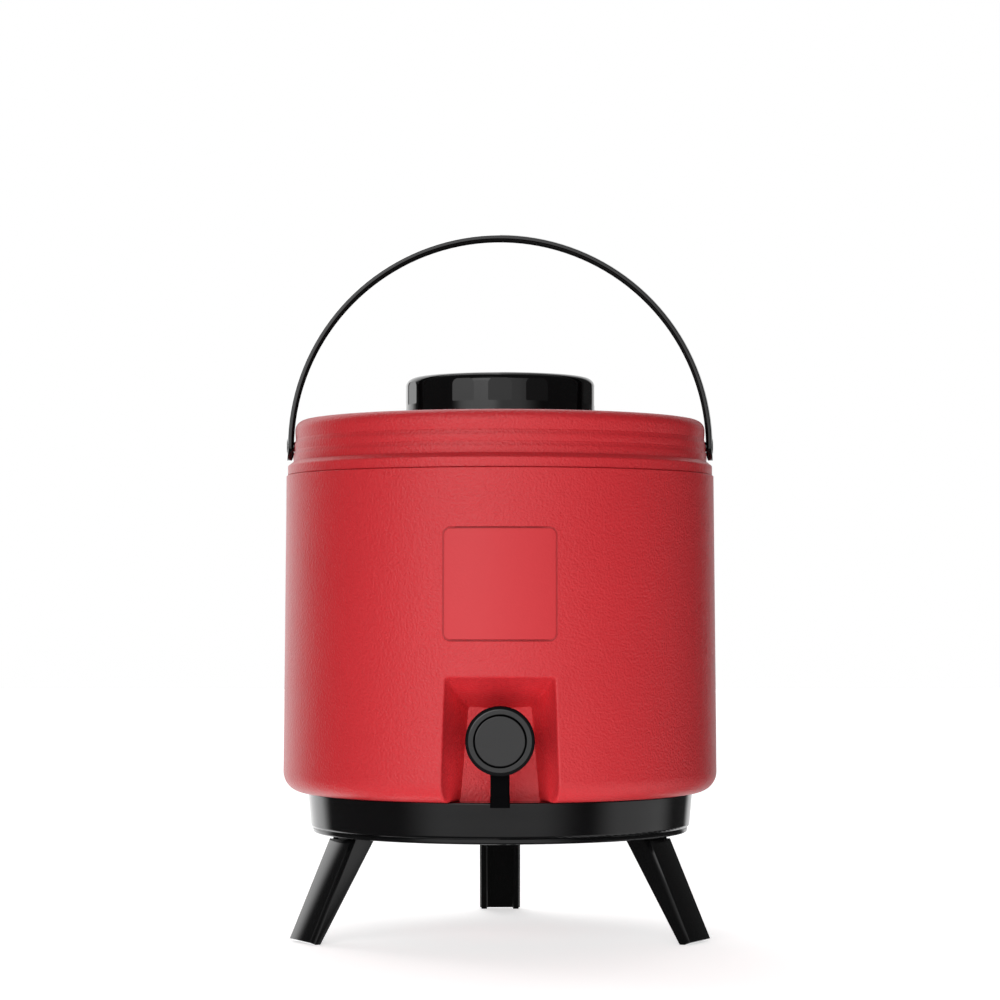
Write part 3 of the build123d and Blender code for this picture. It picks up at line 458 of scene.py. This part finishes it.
def red_grained(name):
    """The shell's grained plastic, with its panel, painted shade in its line and grooves, and painted
    light deep in its niche.
    """
    material, tree, place = new_material(name)
    x, y, z = tree.split(place)
    line, field = panel_line(tree, x, y, z)
    # Where the relief is sunk, and where painted shade darkens the red: the panel's line and the grooves.
    sunk_with_painted_shade = line + groove_shade(tree, z)
    tint, patches = wandering(tree, place, RED, PLASTIC_PATCHES)
    # Painted light: the red is brighter deep in the niche, standing in for the light its walls throw on
    # each other.
    tint = blend(tree, deep_niche(tree, x, y, z), tint, shaded(RED, NICHE_PAINTED_LIGHT))
    # Painted shade: the panel's sunk line and the grooves are made darker, standing in for the shade in
    # them.
    tint = blend(tree, sunk_with_painted_shade * PAINTED_SHADE_SHARE, tint, shaded(RED, PAINTED_SHADE_TONE))
    grain = {"Vector": place, "Scale": 1.0 / GRAIN_SIZE, "Detail": GRAIN_DETAIL}
    pebbles = tree.add("ShaderNodeTexNoise", None, grain) * GRAIN_DEPTH
    height = pebbles * (1.0 - field * PANEL_SMOOTHNESS) - sunk_with_painted_shade * LINE_DEPTH
    relief = tree.add("ShaderNodeBump", None, {"Strength": 1.0, "Distance": 1.0, "Height": height})
    gloss = RED_ROUGHNESS + (patches - 0.5) * GLOSS_WANDER
    finish(tree, {"Base Color": tint, "Roughness": gloss, "IOR": PLASTIC_INDEX, "Normal": relief})
    return material


red_shell = red_grained("red_grained")
print("shell:", red_shell.name, "with pebbles of", GRAIN_SIZE, "m")

# %% [markdown]
# ## A dull black with a polish in places
# The tap and the bail are black too, but only some of their sides shine, and the spout doesn't shine
# at all. Separate materials for the shiny and the dull sides would need the pieces cut apart. One
# material does both: a dull body with a clear coat over it, whose weight is 1 where the piece is
# polished and 0 where it isn't. The body bends light hardly more than air does, so that it throws
# back next to nothing by itself.

# %% A dull black with a polish in places
DULL_PATCHES = 30.0
DULL_ROUGHNESS = 0.5
DULL_WANDER = 0.1
DULL_INDEX = 1.02
POLISH_INDEX = 1.6


def dull_black(name, colour, mask=None, polish_roughness=0.0):
    """A dull black, with a polish over it where the mask is 1."""
    material, tree, place = new_material(name)
    tint, patches = wandering(tree, place, colour, DULL_PATCHES)
    gloss = DULL_ROUGHNESS + (patches - 0.5) * DULL_WANDER
    sockets = {"Base Color": tint, "Roughness": gloss, "IOR": DULL_INDEX}
    if mask:
        sockets["Coat Weight"] = mask(tree, place)
        sockets["Coat Roughness"] = polish_roughness
        sockets["Coat IOR"] = POLISH_INDEX
    finish(tree, sockets)
    return material


SPOUT_BLACK = (0.003, 0.003, 0.0033)
black_spout = dull_black("black_spout", SPOUT_BLACK)
print("spout:", black_spout.name)

# %% [markdown]
# ## The tap's round face
# The button and the bezel round it mirror the front box as one even grey, while the gap between
# them and the bezel's rounded rim stay dark. Both dark parts are rings about the tap's axis, so the
# mask needs only the distance from that axis. The axis is taken from the button's own box.

# %% The tap's round face
button_heights = [corner[2] for corner in frame["nodes"]["tap_button"].bound_box]
TAP_AXIS = (min(button_heights) + max(button_heights)) / 2
DULL_RINGS = {  # radius of the ring's middle line, and half its width
    "gap round the button": (0.01695, 0.0007),
    "rim of the bezel": (0.0235, 0.0027),
}
RING_SOFTNESS = 0.0003
TAP_BLACK = (0.008, 0.008, 0.0085)
TAP_ROUGHNESS = 0.1


def polished_face(tree, place):
    """0 in the dull rings about the tap's axis, 1 everywhere else."""
    x, _, z = tree.split(place)
    up = z - TAP_AXIS
    radius = (x * x + up * up).work("SQRT")
    polish = 1.0
    for middle, half_width in DULL_RINGS.values():
        off_ring = (radius - middle).work("ABSOLUTE")
        edges = (half_width - RING_SOFTNESS, half_width + RING_SOFTNESS)
        polish = fade(tree, off_ring, *edges, inside=0.0, outside=1.0) * polish
    return polish


black_tap = dull_black("black_tap", TAP_BLACK, polished_face, TAP_ROUGHNESS)
print("tap:", black_tap.name, "with its axis", round(TAP_AXIS, 4), "m up")

# %% [markdown]
# ## The bail
# The strap shines outside and along its edges, and its inner side is dark. The two can be told
# apart by where they face: a line from the bail's pivot to a point of the strap runs with the
# surface's own direction outside, square to it on the edges, and against it inside. The dot product
# of the two directions says which. The line is laid flat in the bail's plane first, so that the
# strap's width doesn't tilt it. The pivot is taken from the bail's hinge.

# %% The bail
swing = next(joint for joint in frame["joints"] if joint["name"] == "handle_swing")
BAIL_PIVOT = tuple(swing["pos_m"])
IN_BAIL_PLANE = (1.0, 0.0, 1.0)
INNER_SIDE = (-0.6, -0.3)
HANDLE_BLACK = (0.004, 0.004, 0.0043)
HANDLE_ROUGHNESS = 0.08


def polished_outside(tree, place):
    """1 on the faces of the bail that look outwards or sideways, 0 on those that look inwards."""
    facing = tree.add("ShaderNodeTexCoord", output="Normal")
    outward = tree.vector_work("SUBTRACT", place, BAIL_PIVOT)
    outward = tree.vector_work("MULTIPLY", outward, IN_BAIL_PLANE)
    outward = tree.vector_work("NORMALIZE", outward)
    turned = tree.vector_work("DOT_PRODUCT", outward, facing, output="Value")
    edges = {1: INNER_SIDE[0], 2: INNER_SIDE[1], 3: 0.0, 4: 1.0}
    return tree.add("ShaderNodeMapRange", None, {0: turned, **edges})


black_handle = dull_black("black_handle", HANDLE_BLACK, polished_outside, HANDLE_ROUGHNESS)
print("bail:", black_handle.name, "about its pivot at", BAIL_PIVOT)

# %% [markdown]
# ## Foam and rubber
# The insulation is pale foam with fine pores, and the seals are matt rubber with a finer skin. Pores
# are cells in the foam, so a Voronoi texture, whose height dips in the middle of every cell, gives
# them better than a noise does.

# %% Foam and rubber
def porous(name, colour, size, depth, roughness):
    """A dull surface with fine pits."""
    material, tree, place = new_material(name)
    cells = tree.add("ShaderNodeTexVoronoi", None, {"Vector": place, "Scale": 1.0 / size})
    relief = tree.add("ShaderNodeBump", None, {"Strength": 1.0, "Distance": depth, "Height": cells})
    finish(tree, {"Base Color": shaded(colour, 1.0), "Roughness": roughness, "Normal": relief})
    return material


FOAM = {"colour": (0.82, 0.76, 0.58), "size": 0.0015, "depth": 0.0002, "roughness": 0.9}
RUBBER = {"colour": (0.55, 0.54, 0.52), "size": 0.0008, "depth": 0.00002, "roughness": 0.6}
foam = porous("pale_foam", **FOAM)
soft_seal = porous("soft_seal", **RUBBER)
print("inside:", foam.name, "and", soft_seal.name)

# %% [markdown]
# ## Steel
# The spring, the screws and the legs' pins are bright steel. Metal has no colour of its own under
# its shine, so Metallic is 1 and the base colour tints the reflections. Wire and rod are drawn
# through a die, which leaves the gloss a little uneven, and a fine noise in the roughness shows it.

# %% Steel
STEEL_COLOUR = (0.62, 0.61, 0.59)
STEEL_ROUGHNESS = 0.25
STREAKS = 300.0
STREAK_DETAIL = 2.0
STEEL_WANDER = 0.1


def drawn_steel(name):
    """Metal with a little unevenness in its gloss, as drawing through a die leaves it."""
    material, tree, place = new_material(name)
    noise = {"Vector": place, "Scale": STREAKS, "Detail": STREAK_DETAIL}
    streaks = tree.add("ShaderNodeTexNoise", None, noise)
    gloss = STEEL_ROUGHNESS + (streaks - 0.5) * STEEL_WANDER
    finish(tree, {"Base Color": shaded(STEEL_COLOUR, 1.0), "Metallic": 1.0, "Roughness": gloss})
    return material


steel = drawn_steel("bright_steel")
print("metal:", steel.name)

# %% [markdown]
# ## Dressing the solid pieces
# Every solid piece came with the name of its material, and that name picks the finish. The body of
# the tap is the one exception: it came with the same material as the tap's polished face, but it is
# dull, as its spout shows.

# %% Give the solid pieces their finishes
FINISHES = {
    "red_shell": red_shell,
    "black_gloss": black_gloss,
    "black_handle": black_handle,
    "black_tap": black_tap,
    "white_liner": white_liner,
    "foam": foam,
    "soft_seal": soft_seal,
    "steel": steel,
}
OWN_FINISHES = {"tap_body": black_spout}


def dress(node):
    """Puts a finish on a CAD piece by the name of the material that it came with."""
    for slot in node.material_slots:
        name = slot.material.name.split(".")[0]
        slot.material = OWN_FINISHES.get(node.name, FINISHES[name])


for node in frame["nodes"].values():
    dress(node)
print("dressed", len(frame["nodes"]), "pieces")

# %% [markdown]
# ## Working on one piece at a time
# Operators act on whatever is selected, and loading the solids leaves all of them selected, so two
# small helpers select one piece alone, and pick the corners of its mesh by their place.

# %% Selecting by place
def alone(piece):
    """Selects one piece and nothing else, and makes it the active one."""
    bpy.ops.object.select_all(action="DESELECT")
    piece.select_set(True)
    bpy.context.view_layer.objects.active = piece


def pick(piece, test):
    """In edit mode, selects the corners of the mesh whose place passes the test."""
    bpy.ops.mesh.select_all(action="DESELECT")
    bpy.ops.object.mode_set(mode="OBJECT")
    for corner in piece.data.vertices:
        corner.select = test(corner.co)
    bpy.ops.object.mode_set(mode="EDIT")


print("ready to select")

# %% [markdown]
# ## The legs
# The real legs are channels with a plate on their outer side. The plate's edges are rounded by less
# than a millimetre, and each of them catches a thin line of light, which the solid legs don't show.
# A leg could be modelled again from a box, but a copy of the solid one keeps exactly the place that
# its pin needs. Its loose triangles are merged into whole faces, and then a Bevel modifier rounds
# every sharp edge.

# %% Round the edges of a solid piece
SAME_PLACE = 0.00001
SAME_PLANE = math.radians(0.5)
SHARP_EDGE = math.radians(28.0)
SMOOTH_LEG = math.radians(35.0)
LEG_EDGE = 0.0006
LEG_EDGE_STEPS = 3


def rounded(node_name, body):
    """A copy of a solid leg with rounded edges, which takes the solid's place."""
    node = frame["nodes"][node_name]
    piece = bpy.data.objects.new(node_name + "_rounded", node.data.copy())
    bpy.context.scene.collection.objects.link(piece)
    alone(piece)
    bpy.ops.object.mode_set(mode="EDIT")
    bpy.ops.mesh.select_all(action="SELECT")
    bpy.ops.mesh.remove_doubles(threshold=SAME_PLACE)
    bpy.ops.mesh.dissolve_limited(angle_limit=SAME_PLANE)
    bpy.ops.object.mode_set(mode="OBJECT")
    bpy.ops.mesh.customdata_custom_splitnormals_clear()
    bevel = piece.modifiers.new("edges", "BEVEL")
    bevel.width = LEG_EDGE
    bevel.segments = LEG_EDGE_STEPS
    bevel.limit_method = "ANGLE"
    bevel.angle_limit = SHARP_EDGE
    bevel.miter_outer = "MITER_ARC"
    bpy.ops.object.modifier_apply(modifier="edges")
    bpy.ops.object.shade_smooth_by_angle(angle=SMOOTH_LEG)
    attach(piece, body)
    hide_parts(node_name)
    return piece


for side in ("rear", "left", "right"):
    leg = rounded("leg_" + side, side + "_leg")
    leg.data.materials.clear()
    leg.data.materials.append(black_gloss)
    print(leg.name, "has", len(leg.data.polygons), "faces")

# %% [markdown]
# ## The threads of the neck and the lid
# The lid is screwed on, so its skirt and the neck each carry a thread, which shows when the lid is
# off. A thread is one small section carried round and up at the same time. Spin could do that in
# edit mode, but the Screw modifier keeps all the turns in one setting. The section starts as a
# plane, stood upright at the thread's radius, narrowed at its tip, and then stripped to its outline.

# %% The thread's section
THREAD_WIDTH = 0.0026
THREAD_TIP_SHARE = 0.45


def thread_section(name, root, tip, low):
    """The outline of a thread, upright on the X axis, from its root radius to its tip radius."""
    bpy.ops.object.select_all(action="DESELECT")
    middle = (root + tip) / 2
    bpy.ops.mesh.primitive_plane_add(size=1.0, location=(middle, 0, low), rotation=(math.pi / 2, 0, 0))
    section = bpy.context.active_object
    section.name = name
    bpy.ops.object.mode_set(mode="EDIT")
    bpy.ops.transform.resize(value=(abs(tip - root), 1.0, THREAD_WIDTH))
    bpy.ops.object.mode_set(mode="OBJECT")
    bpy.ops.object.transform_apply(location=True, rotation=True, scale=True)
    bpy.ops.object.mode_set(mode="EDIT")
    pick(section, lambda place: abs(place.x - tip) < abs(place.x - root))
    bpy.ops.transform.resize(value=(1.0, 1.0, THREAD_TIP_SHARE))
    bpy.ops.mesh.select_all(action="SELECT")
    bpy.ops.mesh.delete(type="ONLY_FACE")
    bpy.ops.object.mode_set(mode="OBJECT")
    return section


print("a thread is", THREAD_WIDTH, "m wide at its root")

# %% [markdown]
# The Screw modifier leaves both ends open. On such a jug each end of a thread runs out to a
# point, so the corners of the section at either end are merged into one. They are found by the ray
# from the axis on which that end lies, and by the height that the thread has reached there.

# %% Carry the section round and up
THREAD_PITCH = 0.005
THREAD_TURNS = 1.5
THREAD_STEPS = 96
FULL_TURN = 2 * math.pi
SMOOTH_THREAD = math.radians(40.0)
ON_RAY = THREAD_WIDTH / 10


def at_end(place, ray, height):
    """True for a corner of the thread's section on a ray from the axis and near a height."""
    off_ray = abs(place.x * ray[1] - place.y * ray[0])
    same_side = place.x * ray[0] + place.y * ray[1] > 0
    return same_side and abs(place.z - height) < THREAD_WIDTH and off_ray < ON_RAY


def carry_round(piece, low):
    """Turns the section into a thread that starts at a height, with a point at each end."""
    screw = piece.modifiers.new("turns", "SCREW")
    screw.axis = "Z"
    screw.angle = FULL_TURN * THREAD_TURNS
    screw.screw_offset = THREAD_PITCH * THREAD_TURNS
    screw.steps = screw.render_steps = round(THREAD_STEPS * THREAD_TURNS)
    bpy.ops.object.modifier_apply(modifier="turns")
    bpy.ops.object.mode_set(mode="EDIT")
    for turns in (0.0, THREAD_TURNS):
        angle = FULL_TURN * turns
        ray = (math.cos(angle), math.sin(angle))
        pick(piece, lambda place: at_end(place, ray, low + THREAD_PITCH * turns))
        bpy.ops.mesh.merge(type="CENTER")
    bpy.ops.mesh.select_all(action="SELECT")
    bpy.ops.mesh.normals_make_consistent(inside=False)
    bpy.ops.object.mode_set(mode="OBJECT")
    bpy.ops.object.shade_smooth_by_angle(angle=SMOOTH_THREAD)


print("a thread climbs", THREAD_PITCH * THREAD_TURNS, "m")

# %% [markdown]
# The neck's thread stands outwards from the neck, and the lid's inwards from its skirt. The two
# pass each other by a hair, so that the lid can also be lifted straight off.

# %% The two threads
NECK_THREAD = {"root": 0.0568, "tip": 0.0579, "low": 0.3675}
LID_THREAD = {"root": 0.0591, "tip": 0.0581, "low": 0.3668}


def screw_thread(name, body, root, tip, low):
    """A thread with a pointed end at its foot and at its top, which rides on a body."""
    piece = thread_section(name, root, tip, low)
    carry_round(piece, low)
    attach(piece, body)
    print(name, "has", len(piece.data.polygons), "faces")
    return piece


neck_thread = screw_thread("neck_thread", "jug", **NECK_THREAD)
neck_thread.data.materials.append(white_liner)
lid_thread = screw_thread("lid_thread", "lid", **LID_THREAD)
lid_thread.data.materials.append(black_gloss)

# %% [markdown]
# ## Finish
# The scene is brought up to date at the end.

# %% Finish
import json

bpy.context.view_layer.update()
